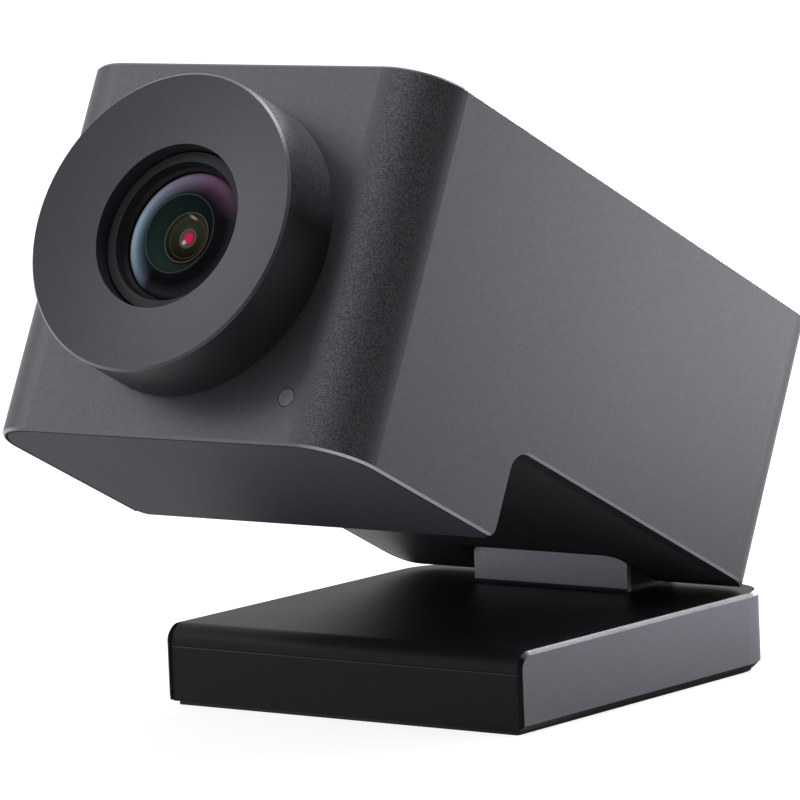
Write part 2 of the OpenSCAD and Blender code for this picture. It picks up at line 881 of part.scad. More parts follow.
module housing_sleeve()
    color(metal)
        in_head()
            difference() {
                head_skin();
                sleeve_core(0, chin_z - over, top_z + over);
                cover_seat(0, top_z - cover_t, top_z + over);
                cover_seat(0, chin_z - over, chin_z + cover_t);
                liner(0);
                translate([0, front_y - over, lens_z])
                    rotate([-90, 0, 0])
                        cylinder(r = neck_r + neck_gap, h = sleeve_t + 2 * over);
                translate([led_x, front_y - over, led_z])
                    rotate([-90, 0, 0])
                        cylinder(r = led_r + led_gap, h = sleeve_t + 2 * over);
                box([-slot_w / 2, in_rear_y - over, ceiling_z - over],
                    [slot_w / 2, rear_y + over, bay_r]);
                translate([0, rear_y + over, socket_z])
                    rotate([90, 0, 0])
                        linear_extrude(sleeve_t + 2 * over)
                            socket_outline(socket_room);
                rear_sweep();
            }

module top_cover()
    color(charcoal)
        in_head() {
            translate([0, mid_y, top_z - cover_t])
                soft_block(cover_w - 2 * cover_gap, cover_d - 2 * cover_gap, cover_t,
                    cover_r - cover_gap, cover_cut, cover_cut);
            at_top_pegs()
                translate([0, 0, top_z - cover_t - peg_l])
                    cylinder(r = peg_r, h = peg_l + over);
        }

module at_top_pegs() {
    translate([0, column_y, 0])
        pair_x(column_x)
            children();
    translate([0, front_peg_y, 0])
        pair_x(front_peg_x)
            children();
}

module at_chin_pegs()
    for (y = [front_peg_y, rear_chin_peg_y])
        translate([0, y, 0])
            pair_x(chin_peg_x)
                children();

// Plan of the chin cover: round at the front, nearly square at the step
module chin_cover()
    color(charcoal)
        in_head() {
            difference() {
                translate([0, front_y + edge_t + cover_gap + (chin_d + corner_r) / 2, chin_z])
                    soft_block(cover_w - 2 * cover_gap, chin_d + corner_r, cover_t,
                        cover_r - cover_gap, cover_cut, cover_cut);
                box([-head_w, step_y, chin_z - over], [head_w, step_y + 3 * corner_r, ceiling_z]);
                pair_x(cover_w / 2 - cover_gap)
                    translate([0, step_y, chin_z - over])
                        rotate([0, 0, 45])
                            cube([chin_corner_r, chin_corner_r, 2 * cover_t + 2 * over], center = true);
            }
            at_chin_pegs()
                translate([0, 0, chin_z + cover_t - fit_gap])
                    cylinder(r = peg_r, h = chin_peg_l + fit_gap);
        }

// Ceiling and step wall of the recess, with the fillet between them
module liner(gap)
    intersection() {
        cover_seat(gap, chin_z, top_z);
        union() {
            box([-head_w, step_y - step_t, ceiling_z], [head_w, rear_y, floor_z]);
            box([-head_w, step_y - step_t, chin_z + cover_t], [head_w, step_y, floor_z]);
            difference() {
                box([-head_w, step_y - step_t / 2, ceiling_z - notch_r],
                    [head_w, step_y + notch_r, floor_z]);
                translate([0, step_y + notch_r, ceiling_z - notch_r])
                    bar(notch_r, 2 * head_w + over);
            }
        }
    }

module recess_cover()
    color(black)
        in_head()
            difference() {
                union() {
                    liner(cover_gap);
                    along_x(slot_w + 2 * ear_gap)
                        hood_profile();
                    translate([0, rear_chin_peg_y, chin_z + cover_t])
                        pair_x(chin_peg_x)
                            cylinder(r = boss_r, h = chin_drop - cover_t + fit_gap);
                }
                slot_cut();
                rear_sweep();
                translate([0, rear_chin_peg_y, chin_z])
                    pair_x(chin_peg_x)
                        cylinder(r = peg_r + fit_gap, h = cover_t + chin_peg_l + fit_gap);
                translate([0, 0, ceiling_z - over])
                    linear_extrude(film_t + over)
                        film_plan(fit_gap);
                translate([0, 0, ceiling_z - over]) {
                    at_bracket_screws()
                        screw_pocket();
                    at_frame_screws()
                        screw_pocket();
                }
            }

// Plan of the film that hides the screws, grown on all sides
module film_plan(grow) {
    low_y = step_y + notch_r + film_edge;
    high_y = -film_rear_gap;
    difference() {
        translate([0, (low_y + high_y) / 2])
            round_rect(in_w - 2 * film_edge + 2 * grow, high_y - low_y + 2 * grow, film_corner_r + grow);
        translate([-slot_w / 2 - film_slot_gap + grow, slot_y - film_slot_gap + grow])
            square([slot_w + 2 * film_slot_gap - 2 * grow, rear_y - slot_y + over]);
    }
}

module recess_film()
    color(black)
        in_head()
            translate([0, 0, ceiling_z])
                linear_extrude(film_t)
                    film_plan(0);

module screw_pocket() {
    cylinder(r = screw_head_r + head_gap, h = film_t + fit_gap + screw_head_h + over);
    cylinder(r = screw_r + head_gap, h = cover_t + 2 * over);
}

// The opening in the recess that the hinge arm comes through
module slot_cut()
    translate([0, 0, ceiling_z - over])
        linear_extrude(cover_t + 2 * over) {
            translate([-slot_w / 2, slot_y + slot_corner_r])
                square([slot_w, rear_y - slot_y]);
            translate([-slot_w / 2 + slot_corner_r, slot_y])
                square([slot_w - 2 * slot_corner_r, slot_corner_r + over]);
            for (side = [-1, 1])
                translate([side * (slot_w / 2 - slot_corner_r), slot_y + slot_corner_r])
                    circle(slot_corner_r);
        }

// Hood over the hinge arm's barrel, as [y, z]
module hood_profile()
    intersection() {
        difference() {
            union() {
                arm_outline(arm_front, slot_front_gap + hood_t, ceiling_z, arm_heel);
                square([in_rear_y - cover_gap, bay_r + hood_t]);
            }
            arm_outline(arm_front, slot_front_gap, ceiling_z - over, arm_heel);
            translate([0, ceiling_z - over])
                square([rear_y, bay_r - ceiling_z + over]);
        }
        translate([-head_d, ceiling_z])
            square([head_d + in_rear_y - cover_gap, head_h]);
    }

module at_frame_screws()
    for (y = frame_screw_ys)
        translate([0, y, 0])
            pair_x(frame_screw_x)
                children();

module frame_screws()
    color(steel)
        in_head()
            at_frame_screws()
                translate([0, 0, ceiling_z + film_t + fit_gap + screw_head_h])
                    rotate([180, 0, 0])
                        screw(cover_t - screw_head_h + 2 * boss_r - film_t - fit_gap);

module at_posts()
    for (sx = [-1, 1], sy = [-1, 1])
        translate([sx * post_x, sy * post_up, 0])
            children();

module at_bezel_screws()
    for (turn = [90, 210, 330])
        rotate([0, 0, turn])
            translate([bezel_screw_ring, 0, 0])
                children();

module at_board_screws()
    for (y = board_screw_ys)
        translate([0, y, 0])
            pair_x(board_screw_x)
                children();

module inner_frame()
    color(frame_grey)
        difference() {
            union() {
                in_head() {
                    intersection() {
                        sleeve_core(frame_gap, chin_z, top_z);
                        union() {
                            // Front plate behind the sleeve's front wall
                            box([-head_w, in_front_y, chin_z + cover_t],
                                [head_w, in_front_y + plate_t, top_z - cover_t]);
                            for (side = [-1, 1])
                                mirror([side < 0 ? 1 : 0, 0, 0])
                                    frame_side();
                        }
                    }
                    translate([0, front_peg_y, top_z - cover_t - 2 * peg_l])
                        pair_x(front_peg_x)
                            cylinder(r = boss_r, h = 2 * peg_l);
                    translate([0, front_peg_y, chin_z + cover_t])
                        pair_x(chin_peg_x)
                            cylinder(r = boss_r, h = 2 * peg_l);
                }
                on_lens()
                    at_posts()
                        translate([0, 0, board_face_z])
                            cylinder(r = post_r, h = plate_back_z - board_face_z + over);
            }
            on_lens() {
                translate([0, 0, plate_back_z - over])
                    cylinder(r = bore_r + foot_wall, h = plate_t + 2 * over);
                at_bezel_screws()
                    translate([0, 0, plate_back_z - over])
                        cylinder(r = screw_r + head_gap, h = plate_t + 2 * over);
                at_posts()
                    translate([0, 0, board_face_z - over])
                        cylinder(r = screw_r + fit_gap, h = 2 * post_r + over);
            }
            in_head() {
                translate([led_x, in_front_y - over, led_z])
                    rotate([-90, 0, 0]) {
                        cylinder(r = led_r + led_gap, h = plate_t + 2 * over);
                        cylinder(r = led_r + led_flange + led_gap, h = led_flange_t + over);
                    }
                at_frame_screws()
                    translate([0, 0, floor_z - over])
                        cylinder(r = screw_r + fit_gap, h = 2 * boss_r + over);
                at_board_screws()
                    translate([0, 0, board_z - 2 * shelf_t])
                        cylinder(r = screw_r + fit_gap, h = 2 * shelf_t + over);
                at_top_pegs()
                    translate([0, 0, top_z - cover_t - peg_l - fit_gap])
                        cylinder(r = peg_r + fit_gap, h = peg_l + over);
                translate([0, front_peg_y, chin_z])
                    pair_x(chin_peg_x)
                        cylinder(r = peg_r + fit_gap, h = cover_t + chin_peg_l + fit_gap);
            }
        }

// Rail, shelf, column and bosses on the side x > 0
module frame_side() {
    box([in_w / 2 - rail_t, in_front_y, floor_z], [head_w, rail_end_y, board_z]);
    box([in_w / 2 - shelf_w, sensor_back_y + board_gap, board_z - shelf_t],
        [head_w, rail_end_y, board_z]);
    box([in_w / 2 - frame_gap - column_w, rail_end_y - column_d, floor_z],
        [head_w, rail_end_y, top_z - cover_t]);
    for (y = frame_screw_ys)
        translate([frame_screw_x, y, floor_z])
            cylinder(r = boss_r, h = 2 * boss_r + foot_wall);
    for (y = board_screw_ys)
        translate([board_screw_x, y, board_z - 2 * shelf_t])
            cylinder(r = boss_r, h = 2 * shelf_t);
}

module lens_bezel()
    color(dark_metal)
        on_lens()
            difference() {
                union() {
                    rotate_extrude()
                        polygon([
                            [0, 0], [ring_r, 0], [ring_r, ring_out - ring_edge], [rim_r, ring_out],
                            [0, ring_out]
                        ]);
                    translate([0, 0, plate_z])
                        cylinder(r = neck_r, h = sleeve_t + fit_gap);
                }
                translate([0, 0, plate_z - over])
                    cylinder(r = bore_r, h = ring_out + sleeve_t + 2 * over);
                translate([0, 0, ring_out + dish_lift])
                    sphere(dish_curve, $fn = dish_facets);
                at_bezel_screws()
                    translate([0, 0, plate_z - over])
                        cylinder(r = screw_r + fit_gap, h = bezel_screw_depth + over);
            }

module bezel_screws()
    color(steel)
        on_lens()
            at_bezel_screws()
                translate([0, 0, plate_back_z])
                    rotate([180, 0, 0])
                        screw(plate_t + bezel_screw_depth - over);

module dust_seal()
    color(black)
        on_lens()
            translate([0, 0, plate_z])
                difference() {
                    cylinder(r = bore_r - fit_gap, h = seal_t);
                    translate([0, 0, -over])
                        cylinder(r = barrel_body_r + fit_gap, h = seal_t + 2 * over);
                }

module lens_barrel()
    color(black)
        on_lens()
            difference() {
                union() {
                    translate([0, 0, glass_z - collar_back])
                        cylinder(r = collar_r, h = collar_back);
                    translate([0, 0, barrel_z])
                        cylinder(r = barrel_body_r, h = glass_z - barrel_z);
                }
                translate([0, 0, seat_z])
                    cylinder(r = glass_r + fit_gap, h = glass_edge_t + over);
                translate([0, 0, second_z])
                    cylinder(r1 = second_r + fit_gap, r2 = hollow_r + glass_lip,
                        h = seat_z - second_z + fit_gap);
                translate([0, 0, throat_z])
                    cylinder(r = second_r + fit_gap, h = second_t + fit_gap);
                translate([0, 0, cell_z - over])
                    cylinder(r = throat_r, h = throat_t + 2 * over);
                translate([0, 0, barrel_z - over])
                    cylinder(r = cell_r, h = cell_z - barrel_z + over);
            }

module lens_ring()
    color(black)
        on_lens()
            rotate_extrude()
                polygon([
                    [dome_r + fit_gap, glass_z], [collar_r, glass_z],
                    [collar_r, glass_z + ring_height - ring_bevel_h],
                    [collar_r - ring_bevel_w, glass_z + ring_height],
                    [dome_r + ring_throat, glass_z + ring_throat]
                ]);

// A glass with a round front face; z = 0 is the flat of its rim
module glass_dome(r, curve)
    intersection() {
        cylinder(r = r, h = curve);
        translate([0, 0, -sqrt(curve * curve - r * r)])
            sphere(curve);
    }

module front_glass()
    color(glass)
        on_lens()
            difference() {
                union() {
                    translate([0, 0, seat_z])
                        cylinder(r = glass_r, h = glass_edge_t);
                    translate([0, 0, glass_z - fit_gap])
                        glass_dome(dome_r, glass_curve);
                }
                translate([0, 0, seat_z - sqrt(hollow_curve * hollow_curve - hollow_r * hollow_r)])
                    sphere(hollow_curve);
            }

module second_glass()
    color(glass)
        on_lens()
            difference() {
                union() {
                    translate([0, 0, throat_z])
                        cylinder(r = second_r, h = second_t / 2);
                    translate([0, 0, throat_z + second_t / 2 - fit_gap])
                        glass_dome(second_r - glass_lip, 2 * second_curve);
                }
                translate([0, 0, throat_z
                    - sqrt(second_hollow_curve * second_hollow_curve - second_hollow_r * second_hollow_r)])
                    sphere(second_hollow_curve);
            }

module aperture_disc()
    color(black)
        on_lens()
            translate([0, 0, cell_z - iris_t])
                difference() {
                    cylinder(r = cell_r - fit_gap, h = iris_t);
                    translate([0, 0, -over])
                        cylinder(r = iris_r, h = iris_t + 2 * over);
                }

module lens_spacer()
    color(black)
        on_lens()
            translate([0, 0, cell_z - iris_t - spacer_t])
                difference() {
                    cylinder(r = cell_r - fit_gap, h = spacer_t);
                    translate([0, 0, -over])
                        cylinder(r = cell_r - spacer_wall, h = spacer_t + 2 * over);
                }

rear_glass_z = cell_z - iris_t - spacer_t - rear_glass_edge;

module rear_glass()
    color(glass)
        on_lens()
            translate([0, 0, rear_glass_z]) {
                cylinder(r = cell_r - fit_gap, h = rear_glass_edge);
                translate([0, 0, rear_glass_edge - fit_gap])
                    glass_dome(cell_r - 2 * spacer_wall, rear_curve);
                mirror([0, 0, 1])
                    translate([0, 0, -fit_gap])
                        glass_dome(cell_r - 2 * spacer_wall, rear_curve);
            }

module rear_lens_ring()
    color(black)
        on_lens()
            translate([0, 0, rear_glass_z - cell_ring_t])
                difference() {
                    cylinder(r = cell_r - fit_gap, h = cell_ring_t);
                    translate([0, 0, -over])
                        cylinder(r = cell_r - cell_ring_wall, h = cell_ring_t + 2 * over);
                }

module lens_holder()
    color([0.12, 0.12, 0.13])
        on_lens()
            difference() {
                union() {
                    translate([0, 0, board_face_z])
                        linear_extrude(holder_floor_z + holder_grip - board_face_z)
                            round_rect(holder_w, holder_w, post_r);
                }
                translate([0, 0, holder_floor_z])
                    cylinder(r = barrel_body_r + fit_gap, h = holder_grip + over);
                translate([0, 0, holder_floor_z - holder_floor_t - over])
                    linear_extrude(holder_floor_t + 2 * over)
                        square(filter_w - 2 * filter_ledge, center = true);
                translate([0, 0, board_face_z - over])
                    linear_extrude(holder_room + over)
                        square([sensor_w + 2 * holder_wall, sensor_w + 2 * holder_wall], center = true);
                translate([0, 0, holder_floor_z - filter_drop])
                    linear_extrude(filter_drop + over)
                        square(filter_w + 2 * fit_gap, center = true);
            }

module infrared_filter()
    color([0.3, 0.45, 0.5])
        on_lens()
            translate([0, 0, holder_floor_z - filter_drop])
                linear_extrude(filter_t)
                    square(filter_w, center = true);

module image_sensor()
    color([0.15, 0.16, 0.2])
        on_lens()
            translate([0, 0, board_face_z]) {
                linear_extrude(sensor_t / 2)
                    square([sensor_w, sensor_w], center = true);
                linear_extrude(sensor_t)
                    square([sensor_h, sensor_h], center = true);
            }

module sensor_board()
    color(board_green)
        on_lens()
            difference() {
                translate([0, 0, board_face_z - pcb_t])
                    linear_extrude(pcb_t)
                        translate([-sensor_board_x, led_z - lens_z - post_r])
                            square([sensor_board_x + led_x + post_r,
                                sensor_board_up - led_z + lens_z + post_r]);
                at_posts()
                    translate([0, 0, board_face_z - pcb_t - over])
                        cylinder(r = screw_r + fit_gap, h = pcb_t + 2 * over);
            }

module sensor_board_screws()
    color(steel)
        on_lens()
            at_posts()
                translate([0, 0, board_face_z - pcb_t])
                    rotate([180, 0, 0])
                        screw(pcb_t + 2 * post_r - over);

// Both halves of the ribbon's joints: behind the sensor board, and on the main board
module flex_connectors()
    color([0.75, 0.72, 0.66]) {
        in_head() {
            box([-flex_w / 2 - flex_t, sensor_back_y, board_z + pcb_t + flex_rise - connector_d],
                [flex_w / 2 + flex_t, sensor_back_y + connector_t, board_z + pcb_t + flex_rise]);
            box([-flex_w / 2 - flex_t, board_front_y + flex_rise, board_z + pcb_t],
                [flex_w / 2 + flex_t, board_front_y + flex_rise + connector_d,
                    board_z + pcb_t + connector_t]);
        }
    }

// Ribbon from the sensor board's plug, over and down to the main board
module sensor_flex()
    color([0.72, 0.45, 0.15])
        in_head()
            along_x(flex_w)
                difference() {
                    translate([sensor_back_y + connector_t, board_z + pcb_t + connector_t])
                        square([board_front_y + flex_rise + connector_d - sensor_back_y - connector_t,
                            flex_rise - connector_t]);
                    translate([sensor_back_y + connector_t + flex_t, board_z + pcb_t + connector_t + flex_t])
                        square([head_d, head_h]);
                }

module status_led()
    color([0.9, 0.9, 0.85])
        on_lens()
            translate([led_x, led_z - lens_z, board_face_z])
                linear_extrude(led_chip_t)
                    square(led_chip_w, center = true);

module light_pipe()
    color([0.6, 0.6, 0.62])
        on_lens()
            translate([led_x, led_z - lens_z, 0]) {
                translate([0, 0, board_face_z + led_chip_t + fit_gap])
                    cylinder(r = led_r, h = -board_face_z - led_chip_t - fit_gap);
                translate([0, 0, plate_z - led_flange_t])
                    cylinder(r = led_r + led_flange, h = led_flange_t - fit_gap);
            }

module main_board()
    color(board_green)
        in_head()
            difference() {
                box([-board_w / 2, board_front_y, board_z], [board_w / 2, board_rear_y, board_z + pcb_t]);
                pair_x(board_w / 2)
                    translate([0, board_rear_y, board_z - over])
                        cylinder(r = in_r, h = pcb_t + 2 * over);
                at_board_screws()
                    translate([0, 0, board_z - over])
                        cylinder(r = screw_r + fit_gap, h = pcb_t + 2 * over);
            }

module board_screws()
    color(steel)
        in_head()
            at_board_screws()
                translate([0, 0, board_z + pcb_t + sink_t])
                    screw(pcb_t + sink_t + shelf_t);

module processor()
    color([0.1, 0.1, 0.11])
        in_head()
            translate([-chip_w / 2, chip_y - chip_w / 2, board_z + pcb_t])
                cube([chip_w, chip_w, chip_t]);

module memory_chips()
    color([0.1, 0.1, 0.11])
        in_head()
            pair_x(chip_w / 2 + memory_gap + memory_d / 2)
                translate([-memory_d / 2, chip_y - memory_w / 2, board_z + pcb_t])
                    cube([memory_d, memory_w, memory_t]);

module thermal_pad()
    color([0.55, 0.6, 0.65])
        in_head()
            translate([-chip_w / 2, chip_y - chip_w / 2, board_z + pcb_t + chip_t])
                cube([chip_w, chip_w, pad_soft_t]);

// Finned plate on the processor, with an ear at each board screw
module heat_sink()
    color([0.7, 0.7, 0.72])
        in_head()
            difference() {
                union() {
                    box([-sink_w / 2, chip_y - sink_d / 2, sink_z],
                        [sink_w / 2, chip_y + sink_d / 2, sink_z + sink_t]);
                    for (i = [0 : fins - 1])
                        translate([-sink_w / 2 + i * (sink_w - fin_t) / (fins - 1),
                            chip_y - sink_d / 2, sink_z])
                            cube([fin_t, sink_d, sink_t + fin_h]);
                    for (side = [-1, 1], end = [0, 1])
                        sink_ear(side, board_screw_ys[end]);
                }
                at_board_screws() {
                    cylinder(r = screw_r + fit_gap, h = top_z);
                    translate([0, 0, board_z + pcb_t + sink_t])
                        cylinder(r = screw_head_r + head_gap, h = top_z);
                }
            }

module sink_ear(side, y) {
    edge_y = y < chip_y ? chip_y - sink_d / 2 : chip_y + sink_d / 2;
    low_x = min(side * board_screw_x, side * (sink_w / 2 - ear_arm_w / 2)) - ear_arm_w / 2;
    high_x = max(side * board_screw_x, side * (sink_w / 2 - ear_arm_w / 2)) + ear_arm_w / 2;
    box([side * (sink_w / 2 - ear_arm_w / 2) - ear_arm_w / 2, min(y, edge_y) - ear_arm_w / 2,
            board_z + pcb_t],
        [side * (sink_w / 2 - ear_arm_w / 2) + ear_arm_w / 2, max(y, edge_y) + ear_arm_w / 2,
            sink_z + sink_t]);
    box([max(low_x, -board_w / 2), y - ear_arm_w / 2, board_z + pcb_t],
        [min(high_x, board_w / 2), y + ear_arm_w / 2, board_z + pcb_t + sink_t]);
}

// Receptacle with a tongue in its mouth
module cable_socket()
    color(steel)
        in_head()
            translate([0, rear_y - socket_set_in, socket_z])
                rotate([90, 0, 0]) {
                    difference() {
                        linear_extrude(socket_l)
                            socket_outline(0);
                        translate([0, 0, -over])
                            linear_extrude(socket_l - socket_floor + over)
                                socket_outline(-socket_wall);
                    }
                    translate([0, 0, socket_wall])
                        linear_extrude(socket_l - socket_wall)
                            square([socket_w - 2 * socket_tongue_margin, socket_tongue_t], center = true);
                }

foot_band();
foot_base();
foot_top_cover();
foot_pad();
tripod_nut();
foot_cover_screws();
hinge_arm();
hinge_arm_face();
hinge_arm_screws();
hinge_pin();
hinge_washers();
hinge_nuts();
hinge_bracket_left();
hinge_bracket_right();
hinge_bracket_screws();
housing_sleeve();
top_cover();
chin_cover();
recess_cover();
recess_film();
inner_frame();
frame_screws();
lens_bezel();
bezel_screws();
dust_seal();
lens_barrel();
lens_ring();
front_glass();
second_glass();
aperture_disc();
lens_spacer();
rear_glass();
rear_lens_ring();
lens_holder();
infrared_filter();
image_sensor();
sensor_board();
sensor_board_screws();
sensor_flex();
flex_connectors();
status_led();
light_pipe();
main_board();
board_screws();
processor();
memory_chips();
thermal_pad();
heat_sink();
cable_socket();
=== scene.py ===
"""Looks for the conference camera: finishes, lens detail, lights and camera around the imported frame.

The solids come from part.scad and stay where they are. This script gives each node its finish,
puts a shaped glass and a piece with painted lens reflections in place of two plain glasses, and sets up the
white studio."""

import json
import math

import bmesh
import bpy
from mathutils import Matrix, Vector


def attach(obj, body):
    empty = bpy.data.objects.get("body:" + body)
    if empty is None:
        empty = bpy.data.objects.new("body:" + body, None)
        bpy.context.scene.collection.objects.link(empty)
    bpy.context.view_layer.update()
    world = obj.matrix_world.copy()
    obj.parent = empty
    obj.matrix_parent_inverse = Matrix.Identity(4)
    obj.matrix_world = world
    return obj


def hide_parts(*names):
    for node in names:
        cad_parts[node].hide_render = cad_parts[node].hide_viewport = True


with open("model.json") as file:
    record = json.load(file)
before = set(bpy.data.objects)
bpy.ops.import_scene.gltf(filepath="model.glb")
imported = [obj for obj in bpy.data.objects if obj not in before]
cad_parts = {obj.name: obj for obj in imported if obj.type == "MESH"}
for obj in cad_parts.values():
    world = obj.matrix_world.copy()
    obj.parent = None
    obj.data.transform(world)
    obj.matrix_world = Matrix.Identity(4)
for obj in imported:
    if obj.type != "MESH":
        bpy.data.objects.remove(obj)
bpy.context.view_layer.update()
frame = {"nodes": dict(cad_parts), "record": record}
nodes = frame["nodes"]

MM = 0.001

# Places in millimetres, as in the part's source
HINGE_Y, HINGE_Z, TILT = 24.3, 19.0, 26.4   # the hinge pin, and the head's angle at rest
FRONT_Y, LENS_Z = -87.3, 4.4                # the lens axis on the head's front, from the hinge
RING_EDGE_R, RING_HOLE_R = 18.5, 10.8       # the ring's outer edge lies past the one, its hole in the other
FOOT_T, BAND_LINE = 10.3, 0.3               # the foot's height, and how much of its band's top edge carries a painted highlight
SOFT = 0.1                                  # the width over which one finish fades into the next

# The lens, in millimetres from the head's front
GLASS_Z, DOME_R, DOME_CURVE, STEP_R = 3.9, 8.2, 13.0, 8.9
CIRCLE_R, INNER_R, PUPIL_R = 5.05, 3.2, 0.78
HALO_IN_R, HALO_R = 2.6, 1.1

HEAD = (Matrix.Translation(Vector((0, HINGE_Y, HINGE_Z)) * MM)
        @ Matrix.Rotation(-math.radians(TILT), 4, "X"))
LENS = (HEAD @ Matrix.Translation(Vector((0, FRONT_Y, LENS_Z)) * MM)
        @ Matrix.Rotation(math.pi / 2, 4, "X"))

# Directions that finishes are masked by, in the object's own axes
RIGHT, AHEAD, UP = (1.0, 0.0, 0.0), (0.0, -1.0, 0.0), (0.0, 0.0, 1.0)
AHEAD_AND_UP = (0.0, -0.7071, 0.7071)
HEAD_UP = tuple(HEAD.to_3x3() @ Vector((0, 0, 1)))
HEAD_AHEAD = tuple(HEAD.to_3x3() @ Vector((0, -1, 0)))
HEAD_LOW_RIGHT = tuple(HEAD.to_3x3() @ Vector((0.7, 0, -0.7)))


# ---- shader nodes

def is_socket(value):
    return hasattr(value, "links")


class Nodes:
    """Short calls that add nodes to one tree. A value is a plain number or another node's output."""

    def __init__(self, tree):
        self.tree = tree

    def node(self, kind, **values):
        """A new node. Each value goes to the input of that name, or else to the property."""
        made = self.tree.nodes.new(kind)
        for key, value in values.items():
            if key in made.inputs:
                made.inputs[key].default_value = value
            else:
                setattr(made, key, value)
        return made

    def link(self, out, into):
        self.tree.links.new(out, into)

    def feed(self, socket, value):
        if is_socket(value):
            self.link(value, socket)
        else:
            socket.default_value = value

    def math(self, op, a, b=0.0):
        made = self.node("ShaderNodeMath", operation=op)
        self.feed(made.inputs[0], a)
        self.feed(made.inputs[1], b)
        return made.outputs[0]

    def product(self, *values):
        out = values[0]
        for value in values[1:]:
            out = self.math("MULTIPLY", out, value)
        return out

    def dot(self, out, way):
        made = self.node("ShaderNodeVectorMath", operation="DOT_PRODUCT")
        self.link(out, made.inputs[0])
        made.inputs[1].default_value = way
        return made.outputs["Value"]

    def fit(self, value, low, high, start=0.0, end=1.0):
        """start where the value is low, end where it is high, and straight between."""
        ends = {"From Min": low, "From Max": high, "To Min": start, "To Max": end}
        made = self.node("ShaderNodeMapRange", **ends)
        self.link(value, made.inputs["Value"])
        return made.outputs["Result"]

    def peak(self, value, low, top, high):
        """Rises from nothing at low to one at top, and falls to nothing at high."""
        return self.math("MINIMUM", self.fit(value, low, top), self.fit(value, high, top))

    def mix(self, fac, a, b, blend="MIX"):
        """Colour a where fac is nothing and b where it is one."""
        made = self.node("ShaderNodeMix", data_type="RGBA", blend_type=blend)
        self.feed(made.inputs[0], fac)
        for socket, color in ((made.inputs[6], a), (made.inputs[7], b)):
            self.feed(socket, color if is_socket(color) else (*color, 1.0))
        return made.outputs[2]

    def choose(self, fac, off, on):
        """The same as mix, for plain levels."""
        made = self.node("ShaderNodeMix", data_type="FLOAT")
        for index, value in ((0, fac), (2, off), (3, on)):
            self.feed(made.inputs[index], value)
        return made.outputs[0]

    def rays(self, *kinds):
        """One wherever a ray of the named kinds asks."""
        path = self.node("ShaderNodeLightPath")
        out = path.outputs[kinds[0]]
        for kind in kinds[1:]:
            out = self.math("MAXIMUM", out, path.outputs[kind])
        return out


class Shader(Nodes):
    """A material with one Principled shader. Other sockets are named in lower case."""

    def __init__(self, name, color, rough, metal=0.0, **sockets):
        self.mat = bpy.data.materials.new(name)
        self.mat.use_nodes = True
        super().__init__(self.mat.node_tree)
        self.bsdf = self.tree.nodes["Principled BSDF"]
        self.coords = self.node("ShaderNodeTexCoord")
        self.set("Base Color", (*color, 1.0))
        self.set("Roughness", rough)
        self.set("Metallic", metal)
        for key, value in sockets.items():
            self.set(key.replace("_", " ").title().replace("Ior", "IOR"), value)

    def set(self, socket, value):
        self.bsdf.inputs[socket].default_value = value

    def color(self, out):
        self.link(out, self.bsdf.inputs["Base Color"])

    def rough(self, out):
        self.link(out, self.bsdf.inputs["Roughness"])

    def place(self):
        return self.coords.outputs["Object"]

    def noise(self, scale, detail=2.0, rough=0.5):
        made = self.node("ShaderNodeTexNoise", Scale=scale, Detail=detail, Roughness=rough)
        self.link(self.place(), made.inputs["Vector"])
        return made.outputs["Fac"]

    def grains(self, scale, share):
        """One on that share of small cells, nothing on the others."""
        cells = self.node("ShaderNodeTexVoronoi", Scale=scale, Detail=2.0, Roughness=0.5)
        self.link(self.place(), cells.inputs["Vector"])
        channels = self.node("ShaderNodeSeparateColor")
        self.link(cells.outputs["Color"], channels.inputs[0])
        return self.math("GREATER_THAN", channels.outputs[0], 1.0 - share)

    def ramp(self, fac, low, high):
        """A colour, or one level for all of it, at each of two stops of (place, value)."""
        made = self.node("ShaderNodeValToRGB")
        for element, (at, value) in zip(made.color_ramp.elements, (low, high)):
            element.position = at
            element.color = (*value, 1.0) if isinstance(value, tuple) else (value, value, value, 1.0)
        self.link(fac, made.inputs["Fac"])
        return made.outputs["Color"]

    def bump(self, height, strength, distance):
        made = self.node("ShaderNodeBump", Strength=strength, Distance=distance)
        self.link(height, made.inputs["Height"])
        self.link(made.outputs["Normal"], self.bsdf.inputs["Normal"])

    def facing(self, way):
        """How far the surface looks along a direction of the object: one when straight at it."""
        return self.dot(self.coords.outputs["Normal"], way)

    def slanted(self, way, low=0.3, high=0.95, rise=0.03):
        """One on the bevels between the faces along a direction and the faces beside them."""
        turn = self.math("ABSOLUTE", self.facing(way))
        return self.product(self.fit(turn, low, low + rise), self.fit(turn, high, high - 0.03))

    def lens_place(self):
        """Sideways and upward from the lens axis, and the radius, all in millimetres."""
        back = LENS.inverted()
        x, y = (self.product(self.math("ADD", self.dot(self.place(), back[i][:3]), back[i][3]), 1 / MM)
                for i in range(2))
        squares = self.math("ADD", self.product(x, x), self.product(y, y))
        return x, y, self.math("SQRT", squares)


def scaled(color, share):
    return tuple(c * share for c in color)


# ---- finishes

HIGHLIGHT_LINE_ROUGH = 0.34                    # roughness of the shell's bevels that carry painted highlight lines
EDGE_HIGHLIGHT_TONE = (0.09, 0.09, 0.1)       # a painted highlight line along a moulded edge
